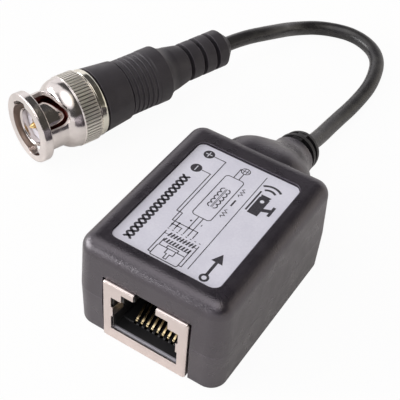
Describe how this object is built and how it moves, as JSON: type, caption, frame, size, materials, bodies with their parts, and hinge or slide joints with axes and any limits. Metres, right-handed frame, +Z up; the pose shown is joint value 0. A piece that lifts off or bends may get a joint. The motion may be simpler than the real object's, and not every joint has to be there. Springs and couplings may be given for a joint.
{
  "type": "cctv video balun",
  "caption": "Small black video balun with a modular jack in its front and a short coaxial lead that ends in a bayonet plug.",
  "frame": {"origin": "on the underside, at the middle of the box's plan", "axes": "+Z up, -Y towards the jack's mouth, +Y along the neck and the lead's exit"},
  "size_m": [0.0664, 0.1024, 0.0194],
  "materials": {
    "housing": "fine moulded texture, black",
    "label_film": "printed film, satin",
    "shield_steel": "tin plated, satin",
    "jack_plastic": "moulded, black",
    "gold": "gold plated",
    "board": "solder mask",
    "ferrite": "sintered",
    "copper_wire": "enamelled",
    "component_plastic": "moulded",
    "component_can": "drawn can",
    "lead_sheath": "insulated wire",
    "soft_black": "moulded soft plastic",
    "cable_jacket": "extruded, satin",
    "boot_rubber": "moulded, satin",
    "nickel": "nickel plated, polished",
    "insulator": "turned, white",
    "red_rubber": "soft seal",
    "spring_steel": "bright"
  },
  "bodies": {
    "balun": {"top_cover": "housing", "bottom_cover": "housing", "label": "label_film", "jack_shield": "shield_steel", "jack_housing": "jack_plastic", "circuit_board": "board", "transformer_core": "ferrite", "winding_line": "copper_wire", "winding_coax": "copper_wire", "surge_suppressor": "component_plastic", "capacitor": "component_can", "centre_lead": "lead_sheath", "braid_lead": "lead_sheath", "strain_relief": "soft_black", "cable": "cable_jacket", "plug_body": "nickel", "outer_contact": "nickel", "dielectric": "insulator", "centre_pin": "gold", "gasket": "red_rubber", "wave_washer": "spring_steel", "retaining_ring": "spring_steel", "crimp_ferrule": "nickel", "plug_boot": "boot_rubber", "jack_contact_1": "gold", "jack_contact_2": "gold", "jack_contact_3": "gold", "jack_contact_4": "gold", "jack_contact_5": "gold", "jack_contact_6": "gold", "jack_contact_7": "gold", "jack_contact_8": "gold"},
    "nut": {"coupling_nut": "nickel"}
  },
  "joints": [
    {"name": "nut_turn", "type": "hinge", "parent": "balun", "child": "nut", "pos_m": [-0.04154, 0.01976, 0.0073], "axis": [0.3322, 0.9432, 0], "continuous": true}
  ]
}
